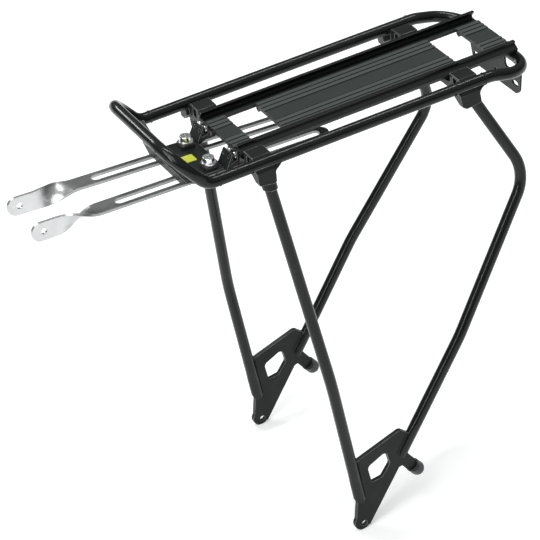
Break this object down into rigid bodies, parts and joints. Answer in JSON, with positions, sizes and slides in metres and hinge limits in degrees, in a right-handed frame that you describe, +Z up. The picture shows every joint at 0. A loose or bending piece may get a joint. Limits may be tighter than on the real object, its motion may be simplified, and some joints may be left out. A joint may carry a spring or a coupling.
{
  "type": "bicycle rear rack",
  "caption": "Tubular bicycle rear rack with a ribbed deck, raised front hoop, lamp plate, lower eyelet plates and slotted stays that slide and swivel at their clamps.",
  "frame": {"origin": "on the common axis of the two lower eyelets, midway between the plates", "axes": "+X towards the front of the bicycle, along the stays; +Y to the bicycle's left, along the eyelets' axis; +Z up"},
  "size_m": [0.451, 0.1994, 0.4083],
  "materials": {
    "frame_paint": "satin powder coat over aluminium tube, cool black",
    "deck_coat": "dark grey satin coat on the ribbed aluminium extrusion",
    "cast_paint": "satin black coat on cast aluminium",
    "plate_paint": "satin black coat on cut aluminium plate",
    "stay_metal": "bright brushed aluminium strip",
    "bolt_steel": "bright zinc plated socket screws",
    "washer_steel": "zinc plated steel",
    "block_black": "moulded black",
    "cap_rubber": "matt dark grey rubber"
  },
  "bodies": {
    "rack": {"deck": "deck_coat", "deck_screws": "bolt_steel", "front_hoop": "frame_paint", "front_left_bracket": "cast_paint", "front_left_leg": "frame_paint", "front_plate": "plate_paint", "front_right_bracket": "cast_paint", "front_right_leg": "frame_paint", "lamp_plate": "plate_paint", "left_dropout_plate": "plate_paint", "left_hook_cap": "cap_rubber", "left_rail": "frame_paint", "left_strut": "plate_paint", "rear_left_bracket": "cast_paint", "rear_left_leg": "frame_paint", "rear_loop": "frame_paint", "rear_right_bracket": "cast_paint", "rear_right_leg": "frame_paint", "right_dropout_plate": "plate_paint", "right_hook_cap": "cap_rubber", "right_rail": "frame_paint", "right_strut": "plate_paint", "strut_screws": "bolt_steel"},
    "left_clamp": {"left_clamp_bolt": "bolt_steel", "left_washer": "washer_steel", "left_clamp_block": "block_black", "left_nut_plate": "washer_steel"},
    "left_stay_bar": {"left_stay": "stay_metal"},
    "right_clamp": {"right_clamp_bolt": "bolt_steel", "right_washer": "washer_steel", "right_clamp_block": "block_black", "right_nut_plate": "washer_steel"},
    "right_stay_bar": {"right_stay": "stay_metal"}
  },
  "joints": [
    {"name": "left_stay_swivel", "type": "hinge", "parent": "rack", "child": "left_clamp", "pos_m": [0.065, 0.0206, 0.34995], "axis": [-0.0471, 0, 0.9989], "range_deg": [-3, 3]},
    {"name": "left_stay_slide", "type": "slide", "parent": "left_clamp", "child": "left_stay_bar", "axis": [0.9987, 0.0192, 0.0471], "range_m": [-0.04, 0.09]},
    {"name": "right_stay_swivel", "type": "hinge", "parent": "rack", "child": "right_clamp", "pos_m": [0.065, -0.0206, 0.34995], "axis": [-0.0471, 0, 0.9989], "range_deg": [-3, 3]},
    {"name": "right_stay_slide", "type": "slide", "parent": "right_clamp", "child": "right_stay_bar", "axis": [0.9987, -0.0192, 0.0471], "range_m": [-0.04, 0.09]}
  ]
}
